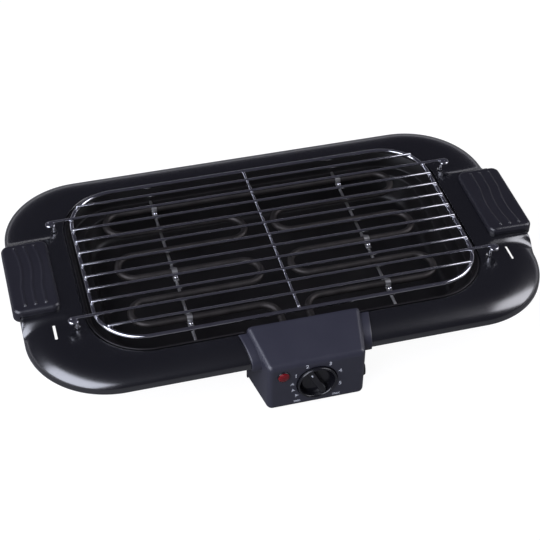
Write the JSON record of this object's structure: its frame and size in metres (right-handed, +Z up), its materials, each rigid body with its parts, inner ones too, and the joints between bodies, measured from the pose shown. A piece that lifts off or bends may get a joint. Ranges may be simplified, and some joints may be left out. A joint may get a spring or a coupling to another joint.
{
  "type": "electric grill",
  "caption": "Tabletop electric barbecue grill: chrome wire rack over a tubular heating element and drip tray in a rounded black housing, with a dial control box at the front.",
  "frame": {"origin": "middle of the bounding box, on the plane the feet stand on", "axes": "+X to the user's right, +Y away from the user (the control box faces -Y), +Z up"},
  "size_m": [0.532, 0.329, 0.0757],
  "materials": {
    "housing_enamel": "semi-gloss black paint on pressed steel",
    "handle_plastic": "satin black moulding",
    "fastener_steel": "bright zinc",
    "foot_rubber": "matte black",
    "tray_enamel": "matte black",
    "element_sheath": "dull dark grey, heat tinted",
    "rod_steel": "dull plated wire",
    "clip_steel": "plain sheet",
    "plate_steel": "plain sheet",
    "rack_chrome": "bright plated wire",
    "box_plastic": "fine-grained charcoal moulding",
    "knob_plastic": "satin charcoal moulding",
    "thermostat_case": "unglazed",
    "lens_red": "clear dark red, faceted",
    "lamp_glass": "clear",
    "block_plastic": "natural moulding",
    "lead_sleeve": "woven heat-proof sleeve",
    "bush_rubber": "matte black"
  },
  "bodies": {
    "housing": {"pan_housing": "housing_enamel", "handle_left": "handle_plastic", "handle_right": "handle_plastic", "handle_screws": "fastener_steel", "feet": "foot_rubber", "foot_screws": "fastener_steel"},
    "tray": {"drip_tray": "tray_enamel"},
    "element_unit": {"heating_element": "element_sheath", "terminal_pins": "fastener_steel", "mounting_plate": "plate_steel", "plate_screws": "fastener_steel", "support_rod_left": "rod_steel", "support_rod_right": "rod_steel", "element_clips": "clip_steel", "clip_studs": "rack_chrome", "control_box": "box_plastic", "box_cover": "box_plastic", "cover_screws": "fastener_steel", "thermostat": "thermostat_case", "neck_nut": "fastener_steel", "indicator_lens": "lens_red", "lamp": "lamp_glass", "terminal_block": "block_plastic", "leads": "lead_sleeve", "cord_bush": "bush_rubber"},
    "rack": {"rack_loop": "rack_chrome", "rack_bars": "rack_chrome", "rack_foot_bars": "rack_chrome", "rack_cross_bar": "rack_chrome"},
    "dial": {"knob": "knob_plastic", "spindle": "plate_steel"}
  },
  "joints": [
    {"name": "tray_lift", "type": "slide", "parent": "housing", "child": "tray", "axis": [0, 0, 1], "range_m": [0, 0.06]},
    {"name": "unit_lift", "type": "slide", "parent": "tray", "child": "element_unit", "axis": [0, 0, 1], "range_m": [0, 0.06]},
    {"name": "rack_lift", "type": "slide", "parent": "element_unit", "child": "rack", "axis": [0, 0, 1], "range_m": [0, 0.06]},
    {"name": "dial_turn", "type": "hinge", "parent": "element_unit", "child": "dial", "pos_m": [0, -0.1615, 0.0343], "axis": [0, 1, 0], "range_deg": [-111, 164]}
  ]
}
